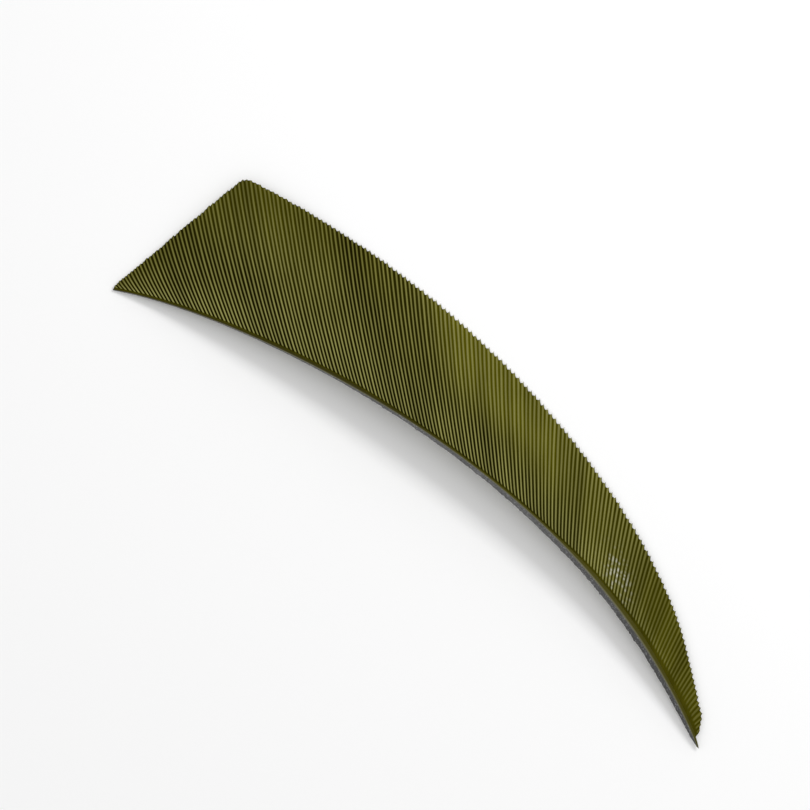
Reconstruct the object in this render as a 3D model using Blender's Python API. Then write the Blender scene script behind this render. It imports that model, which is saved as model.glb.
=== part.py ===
"""Split goose quill feather: one vane of barbs on the ground half of its quill.

The feather lies rough side up on a flat surface, its quill bent along its length
and raised in the middle, its vane sloping down to the free edge.
Blender 4.5 script, metres, +Z up. The sizes below are in millimetres.
The quill runs along +X from the distal tip to the proximal tip, the vane lies on
the +Y side, and the origin is under the middle of the feather, on the surface.
"""
import math

import bmesh
import bpy
from mathutils import Vector

MM = 0.001

# Plan curves, seen from above, with the distal tip at (0, 0)
RACHIS_PLAN = ((0.0, 0.0), (29.4, 14.1), (91.6, 24.3), (150.2, 32.2), (210.1, -0.3))
CORNER = (8.5, 49.4)
LONG_EDGE_PLAN = (CORNER, (121.6, 73.0), (191.2, 21.9), (182.1, 27.5), (206.4, 6.9))
CORNER_ROUNDING = 2.4
CURVE_STEPS = 240

# Height of the vane's middle surface
ARCH_HEIGHT = 9.5
CROWN_POWER = 1.15
CONTACT_ALONG = 0.38
CONTACT_DROP = 1.03
EDGE_LIFT = 0.10
CORNER_LIFT = 2.0
CORNER_LIFT_REACH = 26.0
PROXIMAL_LIFT = 0.4
PROXIMAL_LIFT_POWER = 10
NARROWEST_WIDTH = 4.0

# Quill: (share of the length, height of the ground face, depth of the half round)
QUILL_SIZES = (
    (0.00, 0.6, 0.35),
    (0.20, 0.8, 0.80),
    (0.35, 1.1, 1.25),
    (0.44, 1.7, 0.95),
    (0.55, 2.2, 0.90),
    (0.68, 2.9, 1.20),
    (0.76, 2.5, 2.05),
    (0.85, 2.4, 2.30),
    (0.91, 2.3, 1.80),
    (0.965, 2.1, 1.50),
    (0.985, 1.8, 1.30),
    (1.00, 0.6, 0.50),
)
PROXIMAL_ROLL = math.radians(13.0)
PROXIMAL_ROLL_SPAN = (0.72, 0.88)
QUILL_STATIONS = 44
QUILL_ARC_POINTS = 10
ATTACHMENT_LEVEL = 0.18
GLUE_FACE_SPAN = (0.60, 0.64)

# Vane: ridges that each stand for two barbs, and the web between them
GAP = 0.3
RIDGE_COUNT = 85
VANE_SPAN = (0.012, 0.978)
CORNER_SHARE = 0.245
CUT_SPACING_POWER = 1.15
EDGE_SPACING_BOW = 0.043
EDGE_SPACING_SWING = 0.007
BARB_ROWS = 7
NOTCH_DEPTH = 0.9
SHORTEST_WEB_SHARE = 0.5
RIDGE_TOP = 0.42
RIDGE_TOP_AT_ROOT = 0.20
RIDGE_TOP_AT_TIP = 0.25
WEB_TOP = 0.10
RIDGE_BELOW = 0.20
WEB_BELOW = 0.12

# Lean of a barb's root to the distal side: (share of the quill's length, degrees)
BARB_LEANS = ((0.0, 6.0), (0.60, 2.5), (0.75, 0.0), (1.0, 1.0))

OLIVE_BARBS = (0.145, 0.140, 0.048, 1.0)
OLIVE_QUILL = (0.085, 0.080, 0.014, 1.0)
BARB_ROUGHNESS = 0.62
QUILL_ROUGHNESS = 0.42
SHARP_ANGLE = math.radians(35.0)


def clear_scene():
    """Remove whatever objects the open file holds."""
    for obj in list(bpy.data.objects):
        bpy.data.objects.remove(obj, do_unlink=True)


def make_material(name, colour, roughness):
    """One plain Principled material."""
    material = bpy.data.materials.new(name)
    material.use_nodes = True
    shader = material.node_tree.nodes["Principled BSDF"]
    shader.inputs["Base Color"].default_value = colour
    shader.inputs["Roughness"].default_value = roughness
    shader.inputs["Metallic"].default_value = 0.0
    return material


def bezier(control, t):
    """Point at t on a Bezier curve of any degree."""
    points = [Vector(point) for point in control]
    while len(points) > 1:
        points = [a.lerp(b, t) for a, b in zip(points, points[1:])]
    return points[0]


def measured_curve(control, *further):
    """Points along a Bezier curve and straight on to any further points, with their distances."""
    points = [bezier(control, step / CURVE_STEPS) for step in range(CURVE_STEPS + 1)]
    points += [Vector(point) for point in further]
    distances = [0.0]
    for a, b in zip(points, points[1:]):
        distances.append(distances[-1] + (b - a).length)
    return points, distances


def interpolate(value, knots, results):
    """Straight-line interpolation between rising knots, held at both ends."""
    if value <= knots[0]:
        return results[0]
    for k in range(1, len(knots)):
        if value <= knots[k]:
            share = (value - knots[k - 1]) / (knots[k] - knots[k - 1])
            return results[k - 1] + (results[k] - results[k - 1]) * share
    return results[-1]


def point_at(curve, distance):
    """Plan point at a distance along a measured curve."""
    points, distances = curve
    return interpolate(distance, distances, points)


def side_position(curve, x):
    """How far to the side a measured curve runs at a place along the feather."""
    points, _ = curve
    return interpolate(x, [point.x for point in points], [point.y for point in points])


RACHIS = measured_curve(RACHIS_PLAN)
LONG_EDGE = measured_curve(LONG_EDGE_PLAN, RACHIS_PLAN[-1])
RACHIS_LENGTH = RACHIS[1][-1]
LONG_EDGE_LENGTH = LONG_EDGE[1][-1]
CUT_LENGTH = Vector(CORNER).length
CHORD = RACHIS_PLAN[-1][0]


def arch_at(x):
    """Height of the raised quill line above its two ends, and the share along."""
    along = min(max(x / CHORD, 0.0), 1.0)
    from_middle = 2.0 * along - 1.0
    return ARCH_HEIGHT * (1.0 - from_middle ** 2), along


def edge_drop(along):
    """Share of the arch that the vane loses by its free edge, most of all where it touches."""
    return CONTACT_DROP - EDGE_LIFT * ((along - CONTACT_ALONG) / CONTACT_ALONG) ** 2


def vane_width(x):
    """Width across the vane at a place along the feather."""
    width = side_position(LONG_EDGE, x) - side_position(RACHIS, x)
    return max(width, NARROWEST_WIDTH)


def surface_height(point):
    """Height of the vane's middle surface over a plan point."""
    arch, along = arch_at(point.x)
    across = (point.y - side_position(RACHIS, point.x)) / vane_width(point.x)
    across = min(max(across, 0.0), 1.0)
    fall = edge_drop(along) * across ** CROWN_POWER
    from_corner = (point - Vector(CORNER)).length / CORNER_LIFT_REACH
    corner_lift = CORNER_LIFT * math.exp(-from_corner ** 2)
    return arch * (1.0 - fall) + corner_lift + PROXIMAL_LIFT * along ** PROXIMAL_LIFT_POWER


def quill_size(share):
    """Height of the ground face and depth of the half round, along the quill."""
    shares = [row[0] for row in QUILL_SIZES]
    height = interpolate(share, shares, [row[1] for row in QUILL_SIZES])
    depth = interpolate(share, shares, [row[2] for row in QUILL_SIZES])
    return height, depth


def quill_axes(share):
    """Outward and upward axes of the quill's section, rolled with the vane's slope.

    Towards the proximal end the quill is twisted a little further.
    Along the glue face the axes are held still, which makes that face truly flat.
    """
    if GLUE_FACE_SPAN[0] <= share <= GLUE_FACE_SPAN[1]:
        share = sum(GLUE_FACE_SPAN) / 2.0
    middle = share * RACHIS_LENGTH
    step = RACHIS_LENGTH / CURVE_STEPS
    behind = point_at(RACHIS, max(middle - step, 0.0))
    ahead = point_at(RACHIS, min(middle + step, RACHIS_LENGTH))
    tangent = (ahead - behind).normalized()
    outward = Vector((-tangent.y, tangent.x, 0.0))
    here = point_at(RACHIS, middle)
    arch, along = arch_at(here.x)
    roll = math.atan2(arch * edge_drop(along), vane_width(here.x))
    roll += interpolate(share, PROXIMAL_ROLL_SPAN, (0.0, PROXIMAL_ROLL))
    axis_out = outward * math.cos(roll) - Vector((0.0, 0.0, math.sin(roll)))
    axis_up = outward * math.sin(roll) + Vector((0.0, 0.0, math.cos(roll)))
    return axis_out, axis_up


def quill_section(share):
    """Centre of the ground face, the section's axes and its height and depth."""
    height, depth = quill_size(share)
    axis_out, axis_up = quill_axes(share)
    top_edge = point_at(RACHIS, share * RACHIS_LENGTH).to_3d()
    centre = top_edge - axis_up * (height / 2.0)
    root = centre + axis_out * (depth + GAP) + axis_up * (ATTACHMENT_LEVEL * height)
    centre.z += surface_height(root.to_2d()) - root.z
    return centre, axis_out, axis_up, height, depth


def vane_root(share):
    """Where a barb starts, just clear of the quill's rounded side."""
    centre, axis_out, axis_up, height, depth = quill_section(share)
    return centre + axis_out * (depth + GAP) + axis_up * (ATTACHMENT_LEVEL * height)


def quill_ring(share):
    """Points round the quill's D-shaped section, from the face's top edge to its foot."""
    centre, axis_out, axis_up, height, depth = quill_section(share)
    ring = []
    for k in range(QUILL_ARC_POINTS):
        angle = math.pi * (0.5 - k / (QUILL_ARC_POINTS - 1))
        out = axis_out * (depth * math.cos(angle))
        up = axis_up * (height / 2.0 * math.sin(angle))
        ring.append(centre + out + up)
    return ring


def quill_shares():
    """Places of the sections: even steps, with the glue face as one long step."""
    even = [k / QUILL_STATIONS for k in range(QUILL_STATIONS + 1)]
    start, end = GLUE_FACE_SPAN
    half_step = 0.5 / QUILL_STATIONS
    clear = [s for s in even if s < start - half_step or s > end + half_step]
    return sorted(clear + [start, end])


def object_from_mesh(bm, name, material):
    """Turn a bmesh in millimetres into a named, smooth-shaded object in metres."""
    bmesh.ops.recalc_face_normals(bm, faces=bm.faces)
    bmesh.ops.scale(bm, vec=(MM, MM, MM), verts=bm.verts)
    mesh = bpy.data.meshes.new(name)
    bm.to_mesh(mesh)
    bm.free()
    mesh.materials.append(material)
    mesh.shade_smooth()
    mesh.set_sharp_from_angle(angle=SHARP_ANGLE)
    obj = bpy.data.objects.new(name, mesh)
    bpy.context.scene.collection.objects.link(obj)
    return obj


def make_quill():
    """The split quill: a half round with its ground face towards the inside of the bend."""
    bm = bmesh.new()
    rings = [[bm.verts.new(point) for point in quill_ring(share)] for share in quill_shares()]
    count = QUILL_ARC_POINTS
    for near, far in zip(rings, rings[1:]):
        for k in range(count):
            after = (k + 1) % count
            bm.faces.new((near[k], near[after], far[after], far[k]))
    bm.faces.new(rings[0])
    bm.faces.new(rings[-1])
    material = make_material("quill_cortex", OLIVE_QUILL, QUILL_ROUGHNESS)
    return object_from_mesh(bm, "quill", material)


def outline_distance(share):
    """Distance along the free outline at which the barb from a place on the quill ends."""
    if share <= CORNER_SHARE:
        return CUT_LENGTH * (share / CORNER_SHARE) ** CUT_SPACING_POWER
    part = (share - CORNER_SHARE) / (1.0 - CORNER_SHARE)
    bow = EDGE_SPACING_BOW * math.sin(math.pi * part)
    swing = EDGE_SPACING_SWING * math.sin(2.0 * math.pi * part)
    return CUT_LENGTH + LONG_EDGE_LENGTH * (part - bow - swing)


def sharp_outline_point(distance):
    """Point on the free outline before its corner is rounded."""
    if distance <= CUT_LENGTH:
        return Vector(CORNER) * (distance / CUT_LENGTH)
    return point_at(LONG_EDGE, distance - CUT_LENGTH)


def outline_point(distance):
    """Point on the free outline: the straight oblique cut, the round corner, the long edge."""
    from_corner = distance - CUT_LENGTH
    if abs(from_corner) >= CORNER_ROUNDING:
        return sharp_outline_point(distance)
    start = sharp_outline_point(CUT_LENGTH - CORNER_ROUNDING)
    end = sharp_outline_point(CUT_LENGTH + CORNER_ROUNDING)
    share = (from_corner + CORNER_ROUNDING) / (2.0 * CORNER_ROUNDING)
    return bezier((start, Vector(CORNER), end), share)


def barb_lean(share):
    """How far a barb's root leans to the distal side of the straight line to its end."""
    shares, degrees = zip(*BARB_LEANS)
    return math.radians(interpolate(share, shares, degrees))


def barb_line(share, shorten):
    """Points along one barb, from the quill to the free outline, on the middle surface."""
    root = vane_root(share)
    tip = outline_point(outline_distance(share))
    reach = tip - root.to_2d()
    length = reach.length
    reach *= max(length - shorten, SHORTEST_WEB_SHARE * length) / length
    angle = barb_lean(share)
    leaning = Vector((
        reach.x * math.cos(angle) - reach.y * math.sin(angle),
        reach.x * math.sin(angle) + reach.y * math.cos(angle),
    ))
    start = root.to_2d()
    control = (start, start + leaning / 2.0, start + reach)
    line = []
    for row in range(BARB_ROWS):
        plan = bezier(control, row / (BARB_ROWS - 1))
        line.append(Vector((plan.x, plan.y, surface_height(plan))))
    return line


def barb_thickness(row, is_ridge):
    """How far the vane stands above and below its middle surface, along a barb."""
    if not is_ridge:
        return WEB_TOP, WEB_BELOW
    if row == 0:
        return RIDGE_TOP_AT_ROOT, RIDGE_BELOW
    if row == BARB_ROWS - 1:
        return RIDGE_TOP_AT_TIP, RIDGE_BELOW
    return RIDGE_TOP, RIDGE_BELOW


def barb_column(bm, column, columns):
    """Vertices above and below the middle surface, along one ridge or one web line."""
    is_ridge = column % 2 == 1
    part = column / (columns - 1)
    share = VANE_SPAN[0] + (VANE_SPAN[1] - VANE_SPAN[0]) * part
    line = barb_line(share, 0.0 if is_ridge else NOTCH_DEPTH)
    top_line = []
    under_line = []
    for row, point in enumerate(line):
        above, below = barb_thickness(row, is_ridge)
        top_line.append(bm.verts.new(point + Vector((0.0, 0.0, above))))
        under_line.append(bm.verts.new(point - Vector((0.0, 0.0, below))))
    return top_line, under_line


def join_columns(bm, first, second):
    """Faces between two neighbouring columns: top, underside, root and free edge."""
    (top_a, under_a), (top_b, under_b) = first, second
    for row in range(BARB_ROWS - 1):
        after = row + 1
        bm.faces.new((top_a[row], top_b[row], top_b[after], top_a[after]))
        bm.faces.new((under_a[after], under_b[after], under_b[row], under_a[row]))
    bm.faces.new((top_a[0], under_a[0], under_b[0], top_b[0]))
    bm.faces.new((top_b[-1], under_b[-1], under_a[-1], top_a[-1]))


def close_end(bm, column):
    """Faces down the outer side of the first or the last column."""
    top, under = column
    for row in range(BARB_ROWS - 1):
        bm.faces.new((top[row], top[row + 1], under[row + 1], under[row]))


def make_vane():
    """The vane: a thin ribbed sheet whose ridges reach past the web as saw teeth."""
    bm = bmesh.new()
    count = 2 * RIDGE_COUNT + 1
    columns = [barb_column(bm, column, count) for column in range(count)]
    for first, second in zip(columns, columns[1:]):
        join_columns(bm, first, second)
    close_end(bm, columns[0])
    close_end(bm, columns[-1])
    material = make_material("barbs", OLIVE_BARBS, BARB_ROUGHNESS)
    return object_from_mesh(bm, "vane", material)


def centre_on_surface(objects):
    """Put the origin under the middle of the feather, level with its lowest point."""
    corners = [vertex.co for obj in objects for vertex in obj.data.vertices]
    low = [min(corner[axis] for corner in corners) for axis in range(3)]
    high = [max(corner[axis] for corner in corners) for axis in range(3)]
    middle = Vector(((low[0] + high[0]) / 2.0, (low[1] + high[1]) / 2.0, low[2]))
    for obj in objects:
        for vertex in obj.data.vertices:
            vertex.co -= middle


clear_scene()
centre_on_surface([make_quill(), make_vane()])
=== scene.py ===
"""Looks of the split goose quill feather: 170 modelled barbs on a ground half quill.

The plan curves and heights repeat the named values of the part's source, in
millimetres from the distal tip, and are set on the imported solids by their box.
Sizes are in millimetres, but for the camera, the studio and the bumps, which are
in metres. A share along runs from 0 at the distal tip to 1 at the proximal tip, and
a share across from 0 at the quill to 1 at the free edge.
"""

import math

import bpy
import numpy as np
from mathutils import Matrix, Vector


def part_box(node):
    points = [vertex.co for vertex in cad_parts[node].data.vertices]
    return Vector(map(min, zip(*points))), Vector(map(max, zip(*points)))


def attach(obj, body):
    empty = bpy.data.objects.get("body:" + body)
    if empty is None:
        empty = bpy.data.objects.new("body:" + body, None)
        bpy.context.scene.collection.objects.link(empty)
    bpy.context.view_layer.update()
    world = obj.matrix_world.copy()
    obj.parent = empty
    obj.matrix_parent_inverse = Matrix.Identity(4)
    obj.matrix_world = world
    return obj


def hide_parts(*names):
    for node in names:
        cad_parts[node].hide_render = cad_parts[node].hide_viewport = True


MM = 0.001

# Seeds of the random draws and noises, so that every run makes the same feather
COLUMN_SEED = 11
BAND_SEED = 13
STREAK_SEED = 17
RAGGED_SEED = 3
BURR_SEED = 9
PIT_SEED = 5
GRAIN_SEED = 7
NOISE_TABLE_SIZE = 64

# Plan curves, seen from above, with the distal tip at (0, 0)
RACHIS_PLAN = ((0.0, 0.0), (29.4, 14.1), (91.6, 24.3), (150.2, 32.2), (210.1, -0.3))
CORNER = (8.5, 49.4)
LONG_EDGE_PLAN = (CORNER, (121.6, 73.0), (191.2, 21.9), (182.1, 27.5), (206.4, 6.9))
CORNER_ROUNDING = 2.4
CURVE_STEPS = 240

# Height of the vane's middle surface
ARCH_HEIGHT = 9.5
CROWN_POWER = 1.15
CONTACT_ALONG = 0.38
CONTACT_DROP = 1.03
EDGE_LIFT = 0.10
CORNER_LIFT = 2.0
CORNER_LIFT_REACH = 26.0
PROXIMAL_LIFT = 0.4
PROXIMAL_LIFT_POWER = 10
NARROWEST_WIDTH = 4.0

# Quill: (share of the length, height of the ground face, depth of the half round)
QUILL_SIZES = (
    (0.00, 0.6, 0.35),
    (0.20, 0.8, 0.80),
    (0.35, 1.1, 1.25),
    (0.44, 1.7, 0.95),
    (0.55, 2.2, 0.90),
    (0.68, 2.9, 1.20),
    (0.76, 2.5, 2.05),
    (0.85, 2.4, 2.30),
    (0.91, 2.3, 1.80),
    (0.965, 2.1, 1.50),
    (0.985, 1.8, 1.30),
    (1.00, 0.6, 0.50),
)
PROXIMAL_ROLL = math.radians(13.0)
PROXIMAL_ROLL_SPAN = (0.72, 0.88)
ATTACHMENT_LEVEL = 0.18
ROOT_GAP = 0.3

# Sections of the plain quill solid, to find its box in the plan's frame
SOLID_STATIONS = 44
SOLID_ARC_POINTS = 10
SOLID_SQUARENESS = 2.0

# Finer mesh of the quill
QUILL_STATIONS = 960
SIZE_SMOOTHING = 31
CORTEX_POINTS = 22
FACE_POINTS = 9
SECTION_SQUARENESS = 2.35
TIP_POINT_REACH = 0.9
START_POINT_REACH = 0.3
END_STATIONS = 3
SHARP_ANGLE = math.radians(50.0)

# Ground face: pits and grain of the pith, and the ragged lower edge with its burrs
PIT_DEPTH = 0.07
PIT_SIZE = (1.1, 0.45)
GRAIN_DEPTH = 0.035
GRAIN_SIZE = (0.5, 0.22)
EDGE_RAGGEDNESS = 0.16
EDGE_RAGGED_SIZE = 0.6
BURR_LENGTH = 0.35
BURR_SIZE = 0.5
BURR_SPAN = (0.35, 0.85)
BURR_CHANCE = (0.45, 0.95)
EDGE_SHARPNESS = 4
FACE_NOISE_APART = 20.0
FULL_RELIEF_HEIGHT = 1.5

# Barbs: their spacing on the quill, and the places of their ends on the free outline
BARB_COUNT = 170
VANE_SPAN = (0.0, 0.988)
BARB_CROWDING = 0.04
CROWDING_GROWTH = 3.0
SPACING_JITTER = 0.06
CORNER_SHARE = 0.245
CUT_SPACING_POWER = 1.15
EDGE_SPACING_BOW = 0.043
EDGE_SPACING_SWING = 0.007
CUT_BULGE = 0.75
CUT_BULGE_START = 0.8

# Course of a barb from inside the quill to its free end
BARB_ROWS = 52
ROW_CROWDING = 1.6
ROOT_INSIDE_QUILL = 0.55
SHORT_BARB = 5.0
HOOK_SHIFT = 0.5
HOOK_REACH = 1.0
HOOK_GROWS_UNTIL = 0.30
WAVE_SIDEWAYS = 0.03
WAVE_LENGTH = 16.0

# Lean of a barb's root to the distal side: (share of the quill's length, degrees)
BARB_LEANS = ((0.0, 6.0), (0.60, 2.5), (0.75, 0.0), (1.0, 1.0))

# One barb's section, from the valley on its distal side to the next valley:
# (place across the barb, height of the rounded back, reach of the cut end)
BARB_SECTION = (
    (0.00, 0.00, -0.50),
    (0.14, 0.10, -0.30),
    (0.25, 0.62, -0.12),
    (0.36, 0.95, 0.00),
    (0.47, 1.00, 0.12),
    (0.58, 0.93, 0.22),
    (0.70, 0.55, 1.00),
    (0.84, 0.06, -0.42),
)

# Rows of that section that the underside keeps
UNDER_COLUMNS = (0, 3, 5)

# How much of the cut end's reach is used, at places along the quill, and its jitter
CUT_REACH = (0.12, 0.30, 0.85, 1.00, 0.75, 0.45)
CUT_REACH_PLACES = (0.10, 0.28, 0.45, 0.65, 0.80, 0.95)
TIP_JITTER = 0.14

# Height of the rounded backs, with slow bands over several barbs, and the web's thickness
RIDGE_HEIGHT = 0.42
RIDGE_HEIGHT_AT_EDGE = 0.30
OUTER_FROM = 30.0
HEIGHT_JITTER = 0.16
BAND_BARBS = 6.0
BAND_LENGTH = 22.0
BAND_RELIEF = 0.15
WEB_TOP = 0.05
WEB_BELOW = 0.09
UNDER_RELIEF = 0.07

# Where a back rises out of the quill, and where it thins towards the free end
FOOT_CLEARANCE = 0.12
FOOT_FADE = (0.30, 2.3)
FOOT_FADE_GROWS_FROM = 0.78
FOOT_FADE_SHARE = 0.25
TIP_THINNING = (0.15, 0.45)
TIP_THINNING_GROWS = (0.16, 0.28)
TIP_THINNING_LENGTH = 3.0

# Where painted light lifts the valleys pale, and where the backs are dull
VALLEY_LIGHT_RISE = (0.51, 0.61)
VALLEY_LIGHT_SHEAR = 0.06
VALLEY_LIGHT_FALL = (0.60, 0.78)
VALLEY_LIGHT_ACROSS = (0.20, 0.75)
VALLEY_LIGHT_MIDDLE = 0.66
VALLEY_LIGHT_PROXIMAL = 0.60
VALLEY_LIGHT_PROXIMAL_SPAN = (0.54, 0.90)
VALLEY_LIGHT_PROXIMAL_OUTER = 0.67
VALLEY_LIGHT_DISTAL = 0.44
VALLEY_LIGHT_DISTAL_START = 0.12
VALLEY_LIGHT_DISTAL_RISE = (0.12, 0.26)
VALLEY_LIGHT_DISTAL_UNTIL = (0.26, 0.42)
DULL_INNER = 0.05
DULL_ACROSS = 0.40
DULL_ACROSS_SPAN = (0.10, 0.50)
DULL_OUTER = 0.42
DULL_OUTER_SPAN = (0.50, 1.00)
DULL_OUTER_UNTIL = (0.40, 0.50)
DULL_MIDDLE = 0.12
DULL_MIDDLE_SPAN = (0.36, 0.48)
DULL_PROXIMAL = 0.60
DULL_PROXIMAL_SPAN = (0.78, 0.88)

# A painted highlight: a patch where loose barbules glint, as (middle, half width), and its
# short streaks
GLINT_ALONG = (0.788, 0.021)
GLINT_ACROSS = (0.27, 0.20)
GLINT_LENGTH = 0.55
GLINT_STEP = 0.83
GLINT_SPAN = (0.05, 0.60)
ONLY_ON_TOP = ("glint",)

# Colours of the barbs: valleys dark with painted shade over darker dye and lifted pale by
# painted light, clear and dull slopes and backs, the backs with painted sheen
# Painted shade between the ridges, over the darker dye of the valleys
VALLEY_DYE_AND_SHADE = (0.010, 0.0085, 0.0, 1.0)
# Painted light: the valleys' colour where light reaches into them
VALLEY_LIT = (0.095, 0.089, 0.002, 1.0)
SLOPE_CLEAR = (0.262, 0.254, 0.048, 1.0)
SLOPE_DULL = (0.118, 0.111, 0.013, 1.0)
# Painted sheen: the backs carry a greyish sheen in their colour, with the specular turned off
BACK_PAINTED_SHEEN = (0.264, 0.256, 0.090, 1.0)
BACK_DULL_SHEEN = (0.119, 0.112, 0.023, 1.0)
FOOT_COLOUR = (0.056, 0.051, 0.003, 1.0)
# Painted highlight colour of the glint streaks
PAINTED_GLINT_COLOUR = (0.50, 0.50, 0.41, 1.0)
VALLEY_LIGHT_BY_BAND = 0.12
CREST_BY_VALLEY_LIGHT = 0.28
SLOPE_RANGE = (0.30, 0.95)
BACK_RANGE = (0.55, 1.0)

# Brightness of the barbs: its middle, and how far tone, band and patch change it
BARB_VALUE = 0.96
VALUE_BY_TONE = 0.11
VALUE_BY_BAND = 0.15
VALUE_BY_PATCH = 0.4
BARB_PATCH_SCALE = 60.0
NOISE_MIDDLE = 0.5
NOISE_DETAIL = 3.0

# Surface of the barbs; a bump is its depth in metres and its strength
BARB_FINE_SCALE = 2600.0
BARB_FINE_DETAIL = 2.0
BARB_BUMP = (0.00004, 0.6)
BARB_ROUGHNESS = 0.55
BARB_SPECULAR = 0.0

# Horn of the quill: patches, a paler proximal half, a rubbed rim and an uneven gloss
CORTEX_DARK = (0.024, 0.021, 0.001, 1.0)
CORTEX_PALE = (0.036, 0.032, 0.002, 1.0)
CORTEX_PATCH_SCALE = 90.0
CORTEX_PROXIMAL = (0.052, 0.047, 0.002, 1.0)
CORTEX_PROXIMAL_RANGE = (0.42, 0.56)
CORTEX_RIM = (0.13, 0.125, 0.07, 1.0)
CORTEX_RIM_RANGE = (0.985, 1.0)
CORTEX_FINE_SCALE = 900.0
CORTEX_FINE_RANGE = (0.3, 0.7)
CORTEX_ROUGHNESS = (0.30, 0.48)
CORTEX_BUMP = (0.00005, 0.5)
CORTEX_SPECULAR = 0.08

# Pith on the ground face, its greys darkened with painted shade: patches, a darker proximal
# end, stained borders and speckles
PITH_SHADED_DARK = (0.106, 0.106, 0.105, 1.0)
PITH_SHADED_PALE = (0.148, 0.148, 0.149, 1.0)
PITH_PATCH_SCALE = 160.0
PITH_PATCH_RANGE = (0.3, 0.7)
PITH_PROXIMAL = (0.074, 0.074, 0.074, 1.0)
PITH_PROXIMAL_RANGE = (0.60, 0.85)
PITH_BORDER = (0.132, 0.130, 0.105, 1.0)
PITH_BORDER_RANGE = (0.45, 0.95)
SPECKLE_SCALE = 2200.0
SPECKLE_DETAIL = 4.0
SPECKLE_PALE = (0.32, 0.32, 0.33, 1.0)
SPECKLE_PALE_RANGE = (0.54, 0.74)
SPECKLE_DARK = (0.080, 0.080, 0.076, 1.0)
SPECKLE_DARK_RANGE = (0.46, 0.30)
PITH_BUMP = (0.00012, 0.8)
PITH_ROUGHNESS = 0.85
PITH_SPECULAR = 0.1

# Sockets of Blender's mix node that carry the share and the colours
MIX_SHARE = 0
MIX_FIRST = 6
MIX_SECOND = 7
MIX_RESULT = 2

# Camera, at the photograph's viewing angle, in metres but for the sensor and the pixel
IMAGE_PIXELS = 810
MM_PER_PIXEL = 0.285
SENSOR_WIDTH = 36.0
CAMERA_DISTANCE = 0.70
CAMERA_ELEVATION = math.radians(76.0)
CAMERA_TURN = math.radians(38.47)
CAMERA_AIM = Vector((-0.0181, -0.00175, 0.0))
CAMERA_CLIP = (0.01, 20.0)

# Studio, in metres and watts
FLOOR_SIZE = 6.0
FLOOR_COLOUR = (0.95, 0.95, 0.95, 1.0)
FLOOR_ROUGHNESS = 0.9
WORLD_COLOUR = (1.0, 1.0, 1.0, 1.0)
WORLD_STRENGTH = 0.74
KEY_POWER = 2.0
KEY_SIZE = 0.22
KEY_PLACE = (0.42, 0.30, 0.52)
FILL_POWER = 0.3
FILL_SIZE = 0.5
FILL_PLACE = (-0.45, 0.0, 0.50)


def bezier(control, t):
    """Points on a Bezier curve of any degree, one for each value of t."""
    t = np.asarray(t, float)[:, None]
    points = [np.asarray(point, float) for point in control]
    while len(points) > 1:
        points = [a * (1.0 - t) + b * t for a, b in zip(points, points[1:])]
    return points[0]


def measured_curve(control, *further):
    """Points along a Bezier curve and on to any further points, with their distances."""
    points = bezier(control, np.linspace(0.0, 1.0, CURVE_STEPS + 1))
    points = np.array([*points, *further])
    steps = np.hypot(*np.diff(points, axis=0).T)
    return points, np.concatenate([[0.0], np.cumsum(steps)])


def points_at(curve, distance):
    """Plan points at distances along a measured curve."""
    points, distances = curve
    x = np.interp(distance, distances, points[:, 0])
    y = np.interp(distance, distances, points[:, 1])
    return np.stack([x, y], axis=-1)


RACHIS = measured_curve(RACHIS_PLAN)
LONG_EDGE = measured_curve(LONG_EDGE_PLAN, RACHIS_PLAN[-1])
RACHIS_LENGTH = RACHIS[1][-1]
LONG_EDGE_LENGTH = LONG_EDGE[1][-1]
CUT_LENGTH = math.hypot(*CORNER)
CHORD = RACHIS_PLAN[-1][0]


def side_position(curve, x):
    """How far to the side a measured curve runs at places along the feather."""
    return np.interp(x, curve[0][:, 0], curve[0][:, 1])


def arch_at(x):
    """Height of the raised quill line above its ends, and the share along."""
    along = np.clip(x / CHORD, 0.0, 1.0)
    return ARCH_HEIGHT * (1.0 - (2.0 * along - 1.0) ** 2), along


def edge_drop(along):
    """Share of the arch that the vane loses by its free edge."""
    return CONTACT_DROP - EDGE_LIFT * ((along - CONTACT_ALONG) / CONTACT_ALONG) ** 2


def vane_width(x):
    """Width across the vane at places along the feather."""
    return np.maximum(side_position(LONG_EDGE, x) - side_position(RACHIS, x), NARROWEST_WIDTH)


def surface_height(x, y):
    """Height of the vane's middle surface over plan points."""
    arch, along = arch_at(x)
    across = np.clip((y - side_position(RACHIS, x)) / vane_width(x), 0.0, 1.0)
    fall = edge_drop(along) * across ** CROWN_POWER
    from_corner = np.hypot(x - CORNER[0], y - CORNER[1]) / CORNER_LIFT_REACH
    corner_lift = CORNER_LIFT * np.exp(-from_corner ** 2)
    return arch * (1.0 - fall) + corner_lift + PROXIMAL_LIFT * along ** PROXIMAL_LIFT_POWER


def smooth_step(value):
    """0 below 0, 1 above 1, and a smooth rise between."""
    value = np.clip(value, 0.0, 1.0)
    return value * value * (3.0 - 2.0 * value)


def value_noise(x, y, seed):
    """Smooth random values between -1 and 1 over a plane, the same on every run."""
    size = NOISE_TABLE_SIZE
    table = np.random.default_rng(seed).uniform(-1.0, 1.0, (size, size))
    column, row = np.floor(x).astype(int), np.floor(y).astype(int)
    across, up = smooth_step(x - column), smooth_step(y - row)
    left, right = column % size, (column + 1) % size
    below, above = row % size, (row + 1) % size
    low = table[left, below] * (1.0 - across) + table[right, below] * across
    high = table[left, above] * (1.0 - across) + table[right, above] * across
    return low * (1.0 - up) + high * up


def quill_sizes(share, smoothing):
    """Height of the ground face and depth of the half round, along the quill."""
    shares, heights, depths = np.array(QUILL_SIZES).T
    sizes = []
    for values in (heights, depths):
        size = np.interp(share, shares, values)
        if smoothing > 1:
            half = smoothing // 2
            padded = np.pad(size, half, mode="reflect", reflect_type="odd")
            size = np.convolve(padded, np.ones(smoothing) / smoothing, mode="valid")
        sizes.append(size)
    return sizes


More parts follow.
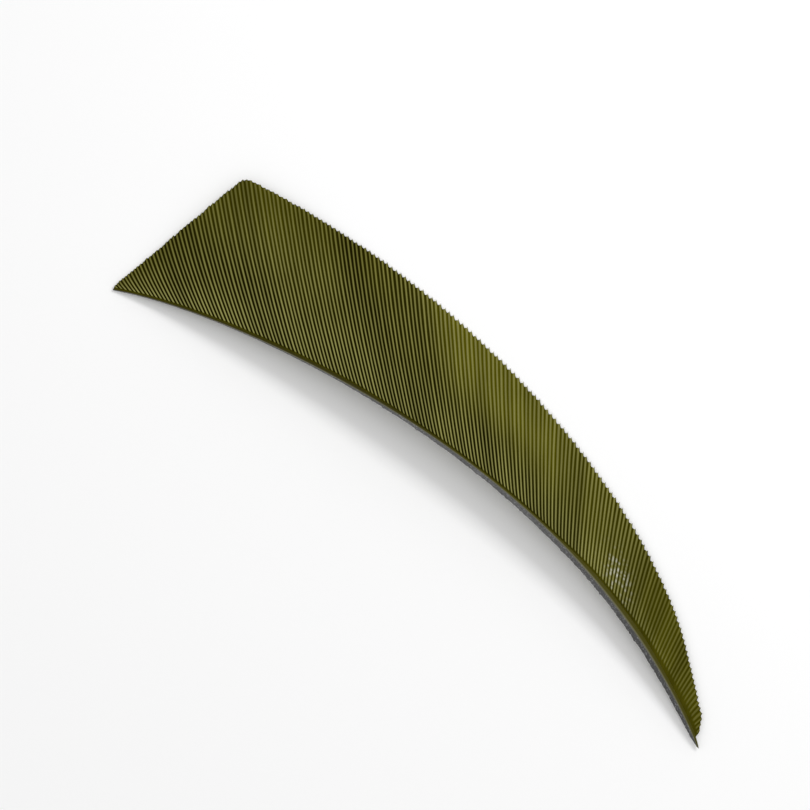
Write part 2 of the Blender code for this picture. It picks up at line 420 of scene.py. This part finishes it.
def quill_frame(share, height, depth):
    """Centres of the ground face, and the section's outward and upward axes."""
    middle = share * RACHIS_LENGTH
    step = RACHIS_LENGTH / CURVE_STEPS
    ahead = points_at(RACHIS, np.minimum(middle + step, RACHIS_LENGTH))
    behind = points_at(RACHIS, np.maximum(middle - step, 0.0))
    tangent = ahead - behind
    tangent /= np.linalg.norm(tangent, axis=1, keepdims=True)
    outward = np.stack([-tangent[:, 1], tangent[:, 0], np.zeros(len(share))], axis=1)
    upward = np.array([0.0, 0.0, 1.0])
    here = points_at(RACHIS, middle)
    arch, along = arch_at(here[:, 0])
    roll = np.arctan2(arch * edge_drop(along), vane_width(here[:, 0]))
    roll = (roll + np.interp(share, PROXIMAL_ROLL_SPAN, (0.0, PROXIMAL_ROLL)))[:, None]
    axis_out = outward * np.cos(roll) - upward * np.sin(roll)
    axis_up = outward * np.sin(roll) + upward * np.cos(roll)
    centre = np.column_stack([here, np.zeros(len(share))])
    centre -= axis_up * (height / 2.0)[:, None]
    level = (ATTACHMENT_LEVEL * height)[:, None]
    root = centre + axis_out * (depth + ROOT_GAP)[:, None] + axis_up * level
    centre[:, 2] += surface_height(root[:, 0], root[:, 1]) - root[:, 2]
    return centre, axis_out, axis_up


def section_arc(count, squareness):
    """Outward and upward shares of the cortex, from the face's top edge to its foot."""
    angle = np.linspace(math.pi / 2.0, -math.pi / 2.0, count)
    power = 2.0 / squareness
    out = np.abs(np.cos(angle)) ** power
    out[[0, -1]] = 0.0
    up = np.sign(np.sin(angle)) * np.abs(np.sin(angle)) ** power
    return out, up


def section_points(sections, out, up):
    """Points at outward and upward distances in each section of the quill."""
    centre, axis_out, axis_up = (part[:, None, :] for part in sections)
    return centre + axis_out * out[..., None] + axis_up * up[..., None]


def frame_shift():
    """Move from the plan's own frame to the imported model's, in metres."""
    share = np.linspace(0.0, 1.0, SOLID_STATIONS + 1)
    height, depth = quill_sizes(share, 1)
    sections = quill_frame(share, height, depth)
    out, up = section_arc(SOLID_ARC_POINTS, SOLID_SQUARENESS)
    points = section_points(sections, np.outer(depth, out), np.outer(height / 2.0, up))
    low = points.reshape(-1, 3).min(axis=0)
    return np.array(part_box("quill")[0]) - low * MM


def outline_at(distance):
    """Points on the free outline: the oblique cut, the round corner, the long edge."""
    from_corner = distance - CUT_LENGTH
    on_cut = np.minimum(distance, CUT_LENGTH)[:, None] * np.array(CORNER) / CUT_LENGTH
    on_edge = points_at(LONG_EDGE, np.maximum(from_corner, 0.0))
    outline = np.where((from_corner <= 0.0)[:, None], on_cut, on_edge)
    start = np.array(CORNER) * (1.0 - CORNER_ROUNDING / CUT_LENGTH)
    end = points_at(LONG_EDGE, CORNER_ROUNDING)
    share = (from_corner + CORNER_ROUNDING) / (2.0 * CORNER_ROUNDING)
    rounded = bezier((start, CORNER, end), np.clip(share, 0.0, 1.0))
    outline = np.where((np.abs(from_corner) < CORNER_ROUNDING)[:, None], rounded, outline)
    left_of_cut = np.clip(1.0 - distance / CUT_LENGTH, 0.0, 1.0)
    bulge = CUT_BULGE * (1.0 - np.exp(-distance / CUT_BULGE_START)) * left_of_cut
    return outline + bulge[:, None] * np.array((-CORNER[1], CORNER[0])) / CUT_LENGTH


def barb_ends(share):
    """Free ends of the barbs that leave the quill at shares of its length."""
    on_cut = CUT_LENGTH * np.clip(share / CORNER_SHARE, 0.0, 1.0) ** CUT_SPACING_POWER
    part = np.clip((share - CORNER_SHARE) / (1.0 - CORNER_SHARE), 0.0, 1.0)
    bow = EDGE_SPACING_BOW * np.sin(math.pi * part)
    swing = EDGE_SPACING_SWING * np.sin(2.0 * math.pi * part)
    return outline_at(on_cut + LONG_EDGE_LENGTH * (part - bow - swing))


def crowded(part):
    """Places along the vane of even counts of barbs, closer together to the proximal end."""
    return part + BARB_CROWDING * part * (1.0 - part) * (1.0 + CROWDING_GROWTH * part)


def barb_columns():
    """Place on the quill, section and random character of every column of the vane."""
    random = np.random.default_rng(COLUMN_SEED)
    border = np.arange(BARB_COUNT + 1) + random.uniform(-1, 1, BARB_COUNT + 1) * SPACING_JITTER
    border[[0, -1]] = (0, BARB_COUNT)
    section = np.array(BARB_SECTION)
    across = np.append(np.tile(section[:, 0], BARB_COUNT), 0.0)
    barb = np.append(np.repeat(np.arange(BARB_COUNT), len(section)), BARB_COUNT - 1)
    place = border[barb] + across * (border[barb + 1] - border[barb])
    place[-1] = BARB_COUNT
    character = random.uniform(-1.0, 1.0, (BARB_COUNT, 4))
    return {
        "share": VANE_SPAN[0] + (VANE_SPAN[1] - VANE_SPAN[0]) * crowded(place / BARB_COUNT),
        "back": np.append(np.tile(section[:, 1], BARB_COUNT), 0.0),
        "reach": np.append(np.tile(section[:, 2], BARB_COUNT), section[0, 2]),
        "barb": barb,
        "height": 1.0 + HEIGHT_JITTER * character[barb, 0],
        "tip": TIP_JITTER * character[barb, 1],
        "tone": character[barb, 2],
        "wave": character[barb, 3] * math.pi,
    }


def barb_roots(share):
    """Plan points where barbs start, the way outward, and the quill's depth there."""
    height, depth = quill_sizes(share, 1)
    centre, axis_out, axis_up = quill_frame(share, height, depth)
    level = (ATTACHMENT_LEVEL * height)[:, None]
    root = centre + axis_out * (ROOT_INSIDE_QUILL * depth)[:, None] + axis_up * level
    outward = axis_out[:, :2] / np.linalg.norm(axis_out[:, :2], axis=1, keepdims=True)
    return root[:, :2], outward, depth


def turned(vectors, angle):
    """Plan vectors turned counterclockwise, each by its own angle."""
    cos, sin = np.cos(angle), np.sin(angle)
    x, y = vectors[:, 0], vectors[:, 1]
    return np.stack([x * cos - y * sin, x * sin + y * cos], axis=1)


def barb_lines(columns):
    """Middle-surface points of every column, from inside the quill to the free end.

    Gives also the distances along the barb, the lengths, and how far each point
    has come out of the quill's side.
    """
    share = columns["share"]
    root, outward, depth = barb_roots(share)
    reach = barb_ends(share) - root
    length = np.linalg.norm(reach, axis=1)
    cut_reach = np.interp(share, CUT_REACH_PLACES, CUT_REACH)
    longer = cut_reach * columns["reach"] + columns["tip"]
    longer *= smooth_step(length / SHORT_BARB)
    reach = reach * ((length + longer) / length)[:, None]
    leaning = turned(reach, np.radians(np.interp(share, *zip(*BARB_LEANS))))

    t = (np.linspace(0.0, 1.0, BARB_ROWS) ** ROW_CROWDING)[None, :, None]
    plan = root[:, None] + leaning[:, None] * (t * (1.0 - t)) + reach[:, None] * t * t
    distance = t[..., 0] * length[:, None]
    hook_shift = np.interp(share, (0.0, HOOK_GROWS_UNTIL), (0.0, HOOK_SHIFT))[:, None]
    hook = hook_shift * np.exp(-distance / HOOK_REACH)
    turn = distance / WAVE_LENGTH * 2.0 * math.pi + columns["wave"][:, None]
    sideways = hook + WAVE_SIDEWAYS * np.sin(turn) * smooth_step(distance / WAVE_LENGTH)
    toward_proximal = np.stack([outward[:, 1], -outward[:, 0]], axis=1)[:, None]
    plan = plan + toward_proximal * sideways[..., None]
    z = surface_height(plan[..., 0], plan[..., 1])
    out = np.sum((plan - root[:, None]) * outward[:, None], axis=2)
    clear = out - ((1.0 - ROOT_INSIDE_QUILL) * depth)[:, None]
    return np.concatenate([plan, z[..., None]], axis=2), distance, length, clear


def foot_strength(share, clear, length):
    """0 inside the quill, rising to 1 where a barb's rounded back stands free."""
    grown = smooth_step((share - FOOT_FADE_GROWS_FROM) / (1.0 - FOOT_FADE_GROWS_FROM))
    fade = FOOT_FADE[0] + (FOOT_FADE[1] - FOOT_FADE[0]) * grown
    fade = np.minimum(fade, FOOT_FADE_SHARE * length)
    return smooth_step((clear - FOOT_CLEARANCE) / fade[:, None])


def tip_strength(share, distance, length):
    """1 along a barb, falling where it thins to its free end, less so on the oblique cut."""
    from_tip = (length[:, None] - distance) / TIP_THINNING_LENGTH
    thinning = np.interp(share, TIP_THINNING_GROWS, TIP_THINNING)[:, None]
    return 1.0 - thinning * (1.0 - smooth_step(from_tip))


def span_share(value, span):
    """Smooth rise from 0 to 1 over a span of values."""
    return smooth_step((value - span[0]) / (span[1] - span[0]))


def valley_light_at(share, across):
    """How far painted light lifts the valleys pale: most in the outer middle of the vane."""
    middle = span_share(share + VALLEY_LIGHT_SHEAR * across, VALLEY_LIGHT_RISE)
    middle = middle * (1.0 - span_share(share, VALLEY_LIGHT_FALL))
    outer = span_share(across, VALLEY_LIGHT_ACROSS)
    proximal = VALLEY_LIGHT_PROXIMAL * span_share(share, VALLEY_LIGHT_PROXIMAL_SPAN)
    proximal = proximal * (1.0 - (1.0 - VALLEY_LIGHT_PROXIMAL_OUTER) * across * across)
    rise = span_share(share, VALLEY_LIGHT_DISTAL_RISE)
    distal = VALLEY_LIGHT_DISTAL_START + (1.0 - VALLEY_LIGHT_DISTAL_START) * rise
    distal = distal * (1.0 - span_share(share, VALLEY_LIGHT_DISTAL_UNTIL))
    return (VALLEY_LIGHT_MIDDLE * middle + VALLEY_LIGHT_DISTAL * distal * across) * outer + proximal


def dullness_at(share, across):
    """How dull the barbs' backs are, darker and with less painted sheen: most in the distal
    outer part and at the proximal end.
    """
    dull = DULL_INNER + DULL_ACROSS * span_share(across, DULL_ACROSS_SPAN)
    outer = span_share(across, DULL_OUTER_SPAN) * (1.0 - span_share(share, DULL_OUTER_UNTIL))
    dull += DULL_OUTER * outer
    dull += DULL_MIDDLE * span_share(share, DULL_MIDDLE_SPAN)
    dull += DULL_PROXIMAL * span_share(share, DULL_PROXIMAL_SPAN)
    return np.clip(dull, 0.0, 1.0)


def painted_glint_at(share, across, barb, distance):
    """Painted highlight: short streaks along the barbs that glint, inside one patch."""
    along_off = (share - GLINT_ALONG[0]) / GLINT_ALONG[1]
    across_off = (across - GLINT_ACROSS[0]) / GLINT_ACROSS[1]
    patch = np.exp(-along_off ** 2 - across_off ** 2)
    streaks = value_noise(barb * GLINT_STEP, distance / GLINT_LENGTH, STREAK_SEED)
    return patch * span_share(streaks, GLINT_SPAN)


def add_attribute(mesh, name, values):
    """One number for each vertex, for the material to read."""
    attribute = mesh.attributes.new(name, "FLOAT", "POINT")
    attribute.data.foreach_set("value", np.asarray(values, np.float32).ravel())


def new_piece(name, vertices, faces, shift, materials):
    """A named, smooth-shaded object from vertices in millimetres."""
    mesh = bpy.data.meshes.new(name)
    mesh.from_pydata((vertices * MM + shift).tolist(), [], faces)
    mesh.validate()
    mesh.update()
    mesh.shade_smooth()
    for material in materials:
        mesh.materials.append(material)
    obj = bpy.data.objects.new(name, mesh)
    bpy.context.scene.collection.objects.link(obj)
    return obj


def vane_faces(columns, rows):
    """Faces of the closed sheet: top, underside, root, free edge and both ends."""
    per_barb = len(BARB_SECTION)
    under = [c for c in range(columns - 1) if c % per_barb in UNDER_COLUMNS] + [columns - 1]
    top_size = columns * rows
    top = np.arange(top_size).reshape(columns, rows)
    below = top_size + np.arange(len(under) * rows).reshape(len(under), rows)
    faces = []
    for c in range(columns - 1):
        for r in range(rows - 1):
            faces.append((top[c, r], top[c + 1, r], top[c + 1, r + 1], top[c, r + 1]))
    for c in range(len(under) - 1):
        for r in range(rows - 1):
            faces.append((below[c, r], below[c, r + 1], below[c + 1, r + 1], below[c + 1, r]))
    for c, (first, last) in enumerate(zip(under, under[1:])):
        span = range(first, last + 1)
        faces.append([top[k, 0] for k in reversed(span)] + [below[c, 0], below[c + 1, 0]])
        faces.append([top[k, -1] for k in span] + [below[c + 1, -1], below[c, -1]])
    for r in range(rows - 1):
        faces.append((top[0, r], top[0, r + 1], below[0, r + 1], below[0, r]))
        faces.append((top[-1, r + 1], top[-1, r], below[-1, r], below[-1, r + 1]))
    return [tuple(int(v) for v in face) for face in faces], under


def make_vane(shift, material):
    """The vane: every barb's rounded back, the web between, and the saw-toothed edge."""
    columns = barb_columns()
    line, distance, length, clear = barb_lines(columns)
    everywhere = np.ones_like(distance)
    share = columns["share"][:, None] * everywhere
    band = value_noise(share * BARB_COUNT / BAND_BARBS, distance / BAND_LENGTH, BAND_SEED)
    foot = foot_strength(columns["share"], clear, length)
    crest = columns["back"][:, None] * foot
    outer = smooth_step(distance / OUTER_FROM)
    height = RIDGE_HEIGHT + (RIDGE_HEIGHT_AT_EDGE - RIDGE_HEIGHT) * outer
    height = height * columns["height"][:, None] * (1.0 + BAND_RELIEF * band)
    relief = crest * tip_strength(columns["share"], distance, length)
    top = line.copy()
    top[..., 2] += WEB_TOP + height * relief
    faces, under = vane_faces(*distance.shape)
    low = line[under].copy()
    low[..., 2] -= WEB_BELOW + UNDER_RELIEF * relief[under]
    vertices = np.concatenate([top.reshape(-1, 3), low.reshape(-1, 3)])
    obj = new_piece("vane_barbs", vertices, faces, shift, [material])
    across = distance / length[:, None]
    # Masks for the colour: painted light in the valleys, dullness of the backs, a painted
    # glint, bands, the foot and tone
    values = {
        "crest": crest,
        "valley_light": valley_light_at(share, across),
        "dull": dullness_at(share, across),
        "glint": painted_glint_at(share, across, columns["barb"][:, None] * everywhere, distance),
        "band": band,
        "foot": foot,
        "tone": columns["tone"][:, None] * everywhere,
    }
    for name, value in values.items():
        below = value[under] * (0.0 if name in ONLY_ON_TOP else 1.0)
        add_attribute(obj.data, name, np.concatenate([value.ravel(), below.ravel()]))
    return obj


def cortex_ring(share, height, depth, fade):
    """Outward and upward distances round the cortex, its foot ragged and with burrs."""
    distance = (share * RACHIS_LENGTH)[:, None]
    level = np.zeros_like(distance)
    out_share, up_share = section_arc(CORTEX_POINTS, SECTION_SQUARENESS)
    ragged = EDGE_RAGGEDNESS * value_noise(distance / EDGE_RAGGED_SIZE, level, RAGGED_SEED)
    burrs = span_share(value_noise(distance / BURR_SIZE, level, BURR_SEED), BURR_CHANCE)
    burrs[(share < BURR_SPAN[0]) | (share > BURR_SPAN[1])] = 0.0
    foot_share = smooth_step(-up_share) ** EDGE_SHARPNESS
    up = np.outer(height / 2.0, up_share) + (ragged - BURR_LENGTH * burrs) * foot_share * fade
    return np.outer(depth, out_share), up, up_share


def face_ring(share, height, fade):
    """Outward and upward distances across the ground face, with its pits and grain."""
    distance = (share * RACHIS_LENGTH)[:, None]
    up_share = np.linspace(-1.0, 1.0, FACE_POINTS + 2)[1:-1]
    up = np.outer(height / 2.0, up_share)
    pits = value_noise(distance / PIT_SIZE[0], up / PIT_SIZE[1] + FACE_NOISE_APART, PIT_SEED)
    grain_up = up / GRAIN_SIZE[1] + FACE_NOISE_APART
    grain = value_noise(distance / GRAIN_SIZE[0], grain_up, GRAIN_SEED)
    out = (PIT_DEPTH * np.clip(pits, 0.0, 1.0) + GRAIN_DEPTH * grain) * fade
    return out, up, up_share


def end_point(ring, centre, inner_centre, reach):
    """A point past an end of the quill, straight on from an inner centre through the last."""
    direction = centre - inner_centre
    return ring.mean(axis=0) + direction / np.linalg.norm(direction) * reach


def quill_faces(stations, count):
    """Faces round the quill and to its two end points, and which of them are ground face."""
    index = np.arange(stations * count).reshape(stations, count)
    tip, start = stations * count, stations * count + 1
    faces, kinds = [], []
    for k in range(count):
        after = (k + 1) % count
        on_face = int(k >= CORTEX_POINTS - 1)
        for s in range(stations - 1):
            faces.append((index[s, k], index[s, after], index[s + 1, after], index[s + 1, k]))
            kinds.append(on_face)
        faces.append((index[-1, k], index[-1, after], tip))
        kinds.append(0)
        faces.append((index[0, after], index[0, k], start))
        kinds.append(0)
    return [tuple(int(v) for v in face) for face in faces], kinds


def make_quill(shift, cortex, pith):
    """The split quill: a half round, its ground face rough and its lower edge ragged."""
    share = np.linspace(0.0, 1.0, QUILL_STATIONS + 1)
    height, depth = quill_sizes(share, SIZE_SMOOTHING)
    sections = quill_frame(share, height, depth)
    fade = smooth_step(height / FULL_RELIEF_HEIGHT)[:, None]
    cortex_out, cortex_up, cortex_up_share = cortex_ring(share, height, depth, fade)
    face_out, face_up, face_up_share = face_ring(share, height, fade)
    out = np.concatenate([cortex_out, face_out], axis=1)
    up = np.concatenate([cortex_up, face_up], axis=1)
    points = section_points(sections, out, up)

    centres = sections[0]
    tip = end_point(points[-1], centres[-1], centres[-1 - END_STATIONS], TIP_POINT_REACH)
    start = end_point(points[0], centres[0], centres[END_STATIONS], START_POINT_REACH)
    vertices = np.concatenate([points.reshape(-1, 3), tip[None], start[None]])
    stations, count = points.shape[:2]
    faces, kinds = quill_faces(stations, count)
    obj = new_piece("quill_half", vertices, faces, shift, [cortex, pith])
    obj.data.polygons.foreach_set("material_index", kinds)
    up_share = np.tile(np.concatenate([cortex_up_share, face_up_share]), (stations, 1))
    along = np.tile(share[:, None], (1, count))
    add_attribute(obj.data, "up_share", np.append(up_share.ravel(), [0.0, 0.0]))
    add_attribute(obj.data, "along", np.append(along.ravel(), [1.0, 0.0]))
    obj.data.set_sharp_from_angle(angle=SHARP_ANGLE)
    return obj


class Nodes:
    """A material's node tree, with short ways to add and join nodes."""

    def __init__(self, name):
        self.material = bpy.data.materials.new(name)
        self.material.use_nodes = True
        self.tree = self.material.node_tree
        self.shader = self.tree.nodes["Principled BSDF"]

    def add(self, kind, settings=None, inputs=None):
        """A node with its settings, and its inputs as numbers or as sockets to join."""
        node = self.tree.nodes.new(kind)
        for name, value in (settings or {}).items():
            setattr(node, name, value)
        for name, value in (inputs or {}).items():
            self.set(node.inputs[name], value)
        return node

    def set(self, socket, value):
        """Join an output socket to an input, or give the input a plain value."""
        if isinstance(value, bpy.types.NodeSocket):
            self.tree.links.new(value, socket)
        else:
            socket.default_value = value

    def attribute(self, name):
        """A number stored on the mesh's vertices."""
        return self.add("ShaderNodeAttribute", {"attribute_name": name}).outputs["Fac"]

    def math(self, operation, first, second=0.0, third=0.0):
        """One arithmetic step."""
        inputs = {0: first, 1: second, 2: third}
        return self.add("ShaderNodeMath", {"operation": operation}, inputs).outputs[0]

    def noise(self, scale, detail=NOISE_DETAIL):
        """Noise over the object's own coordinates."""
        place = self.add("ShaderNodeTexCoord").outputs["Object"]
        inputs = {"Vector": place, "Scale": scale, "Detail": detail}
        return self.add("ShaderNodeTexNoise", None, inputs).outputs["Fac"]

    def ranged(self, value, low, high, to_low=0.0, to_high=1.0):
        """Map a value from one range to another, held at the ends."""
        inputs = {
            "Value": value,
            "From Min": low,
            "From Max": high,
            "To Min": to_low,
            "To Max": to_high,
        }
        return self.add("ShaderNodeMapRange", None, inputs).outputs["Result"]

    def mix(self, share, first, second):
        """Mix two colours."""
        inputs = {MIX_SHARE: share, MIX_FIRST: first, MIX_SECOND: second}
        return self.add("ShaderNodeMix", {"data_type": "RGBA"}, inputs).outputs[MIX_RESULT]

    def bump(self, height, distance, strength):
        """Fine relief for the shader's normal."""
        inputs = {"Height": height, "Distance": distance, "Strength": strength}
        return self.add("ShaderNodeBump", None, inputs).outputs["Normal"]

    def finish(self, **inputs):
        """Set the shader's inputs, named with underscores for spaces."""
        for name, value in inputs.items():
            self.set(self.shader.inputs[name.replace("_", " ")], value)
        return self.material


def barb_material():
    """Dyed barbs: pale olive with painted sheen along each rounded back, dark with painted
    shade over darker dye in the valleys between, lifted there by painted light, and a painted
    glint.
    """
    nodes = Nodes("barbs")
    crest = nodes.attribute("crest")
    band = nodes.attribute("band")
    foot = nodes.attribute("foot")
    # Painted light lifts the valleys, and with them the crests, by its mask and the bands
    valley_light = nodes.math("MULTIPLY_ADD", band, VALLEY_LIGHT_BY_BAND, nodes.attribute("valley_light"))
    valley_light = nodes.ranged(valley_light, 0.0, 1.0)
    valley = nodes.mix(valley_light, VALLEY_DYE_AND_SHADE, VALLEY_LIT)
    dull = nodes.attribute("dull")
    slope = nodes.mix(dull, SLOPE_CLEAR, SLOPE_DULL)
    # Painted sheen on the backs, less where they are dull
    back = nodes.mix(dull, BACK_PAINTED_SHEEN, BACK_DULL_SHEEN)
    raised = nodes.math("MULTIPLY_ADD", valley_light, CREST_BY_VALLEY_LIGHT, crest)
    lit = nodes.ranged(raised, *SLOPE_RANGE)
    # Painted shade: the valleys stay dark and the slopes turn pale as the crest rises
    colour = nodes.mix(lit, valley, slope)
    colour = nodes.mix(nodes.ranged(lit, *BACK_RANGE), colour, back)
    colour = nodes.mix(foot, FOOT_COLOUR, colour)
    value = nodes.math("MULTIPLY_ADD", nodes.attribute("tone"), VALUE_BY_TONE, BARB_VALUE)
    value = nodes.math("MULTIPLY_ADD", band, VALUE_BY_BAND, value)
    patch = nodes.math("SUBTRACT", nodes.noise(BARB_PATCH_SCALE), NOISE_MIDDLE)
    value = nodes.math("MULTIPLY_ADD", patch, VALUE_BY_PATCH, value)
    shade = nodes.add("ShaderNodeHueSaturation", None, {"Color": colour, "Value": value})
    fine = nodes.noise(BARB_FINE_SCALE, BARB_FINE_DETAIL)
    # Painted highlight: pale glint streaks mixed into the colour on the lit crests
    sparkle = nodes.math("MULTIPLY", nodes.attribute("glint"), lit)
    colour = nodes.mix(sparkle, shade.outputs["Color"], PAINTED_GLINT_COLOUR)
    return nodes.finish(
        Base_Color=colour,
        Roughness=BARB_ROUGHNESS,
        Normal=nodes.bump(fine, *BARB_BUMP),
        Specular_IOR_Level=BARB_SPECULAR,
    )


def cortex_material():
    """Dyed horn of the quill's outside: dark olive, half glossy, its rim rubbed pale."""
    nodes = Nodes("quill_cortex")
    colour = nodes.mix(nodes.noise(CORTEX_PATCH_SCALE), CORTEX_DARK, CORTEX_PALE)
    proximal = nodes.ranged(nodes.attribute("along"), *CORTEX_PROXIMAL_RANGE)
    colour = nodes.mix(proximal, colour, CORTEX_PROXIMAL)
    rim = nodes.ranged(nodes.attribute("up_share"), *CORTEX_RIM_RANGE)
    colour = nodes.mix(rim, colour, CORTEX_RIM)
    fine = nodes.noise(CORTEX_FINE_SCALE)
    return nodes.finish(
        Base_Color=colour,
        Roughness=nodes.ranged(fine, *CORTEX_FINE_RANGE, *CORTEX_ROUGHNESS),
        Normal=nodes.bump(fine, *CORTEX_BUMP),
        Specular_IOR_Level=CORTEX_SPECULAR,
    )


def pith_material():
    """Ground face: pith darkened to grey with painted shade, rough and speckled, darker to the
    proximal end.
    """
    nodes = Nodes("quill_pith")
    speckle = nodes.noise(SPECKLE_SCALE, SPECKLE_DETAIL)
    patch = nodes.ranged(nodes.noise(PITH_PATCH_SCALE), *PITH_PATCH_RANGE)
    # Painted shade: the pale pith is darkened to the grey of a face turned from the light
    colour = nodes.mix(patch, PITH_SHADED_DARK, PITH_SHADED_PALE)
    proximal = nodes.ranged(nodes.attribute("along"), *PITH_PROXIMAL_RANGE)
    colour = nodes.mix(proximal, colour, PITH_PROXIMAL)
    border = nodes.ranged(nodes.attribute("up_share"), *PITH_BORDER_RANGE)
    colour = nodes.mix(border, colour, PITH_BORDER)
    colour = nodes.mix(nodes.ranged(speckle, *SPECKLE_PALE_RANGE), colour, SPECKLE_PALE)
    colour = nodes.mix(nodes.ranged(speckle, *SPECKLE_DARK_RANGE), colour, SPECKLE_DARK)
    return nodes.finish(
        Base_Color=colour,
        Roughness=PITH_ROUGHNESS,
        Normal=nodes.bump(speckle, *PITH_BUMP),
        Specular_IOR_Level=PITH_SPECULAR,
    )


def image_directions():
    """Directions of the picture's right side and of its top, along the floor."""
    right = Vector((math.cos(CAMERA_TURN), math.sin(CAMERA_TURN), 0.0))
    up = Vector((-math.sin(CAMERA_TURN), math.cos(CAMERA_TURN), 0.0))
    return right, up


def aim(obj, place, target):
    """Put a camera or light at a place and point it at a target."""
    obj.location = place
    obj.rotation_mode = "QUATERNION"
    obj.rotation_quaternion = (target - place).to_track_quat("-Z", "Y")


def make_camera():
    """A camera at the photograph's viewing angle and scale."""
    data = bpy.data.cameras.new("camera")
    data.sensor_width = SENSOR_WIDTH
    data.lens = SENSOR_WIDTH * CAMERA_DISTANCE / (IMAGE_PIXELS * MM_PER_PIXEL * MM)
    data.clip_start, data.clip_end = CAMERA_CLIP
    camera = bpy.data.objects.new("camera", data)
    bpy.context.scene.collection.objects.link(camera)
    right, up = image_directions()
    back = Vector((0.0, 0.0, math.sin(CAMERA_ELEVATION))) - up * math.cos(CAMERA_ELEVATION)
    aim(camera, CAMERA_AIM + back * CAMERA_DISTANCE, CAMERA_AIM)
    bpy.context.scene.camera = camera


def make_light(name, power, size, place):
    """A square soft light, at distances to the picture's right, to its top and upward."""
    data = bpy.data.lights.new(name, "AREA")
    data.energy = power
    data.size = size
    light = bpy.data.objects.new(name, data)
    bpy.context.scene.collection.objects.link(light)
    right, up = image_directions()
    where = CAMERA_AIM + right * place[0] + up * place[1] + Vector((0.0, 0.0, place[2]))
    aim(light, where, CAMERA_AIM)


def make_floor():
    """The plain pale floor."""
    half = FLOOR_SIZE / 2.0
    corners = [(-half, -half, 0.0), (half, -half, 0.0), (half, half, 0.0), (-half, half, 0.0)]
    mesh = bpy.data.meshes.new("floor")
    mesh.from_pydata(corners, [], [(0, 1, 2, 3)])
    nodes = Nodes("floor")
    mesh.materials.append(nodes.finish(Base_Color=FLOOR_COLOUR, Roughness=FLOOR_ROUGHNESS))
    floor = bpy.data.objects.new("floor", mesh)
    bpy.context.scene.collection.objects.link(floor)


def make_studio():
    """Floor, camera, soft lights and a pale surrounding."""
    make_floor()
    make_camera()
    make_light("key", KEY_POWER, KEY_SIZE, KEY_PLACE)
    make_light("fill", FILL_POWER, FILL_SIZE, FILL_PLACE)
    world = bpy.data.worlds.new("studio")
    world.use_nodes = True
    background = world.node_tree.nodes["Background"]
    background.inputs["Color"].default_value = WORLD_COLOUR
    background.inputs["Strength"].default_value = WORLD_STRENGTH
    scene = bpy.context.scene
    scene.world = world
    scene.view_settings.view_transform = "Standard"


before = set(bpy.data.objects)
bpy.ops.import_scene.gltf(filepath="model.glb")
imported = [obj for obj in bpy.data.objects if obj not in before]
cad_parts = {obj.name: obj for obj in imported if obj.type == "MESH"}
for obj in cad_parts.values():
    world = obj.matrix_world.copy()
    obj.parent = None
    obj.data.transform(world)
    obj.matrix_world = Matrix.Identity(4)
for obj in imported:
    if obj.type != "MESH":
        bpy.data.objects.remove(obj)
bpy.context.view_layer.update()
shift = frame_shift()
vane = make_vane(shift, barb_material())
quill = make_quill(shift, cortex_material(), pith_material())
for piece, node in ((vane, "vane"), (quill, "quill")):
    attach(piece, "root")
    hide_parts(node)
make_studio()
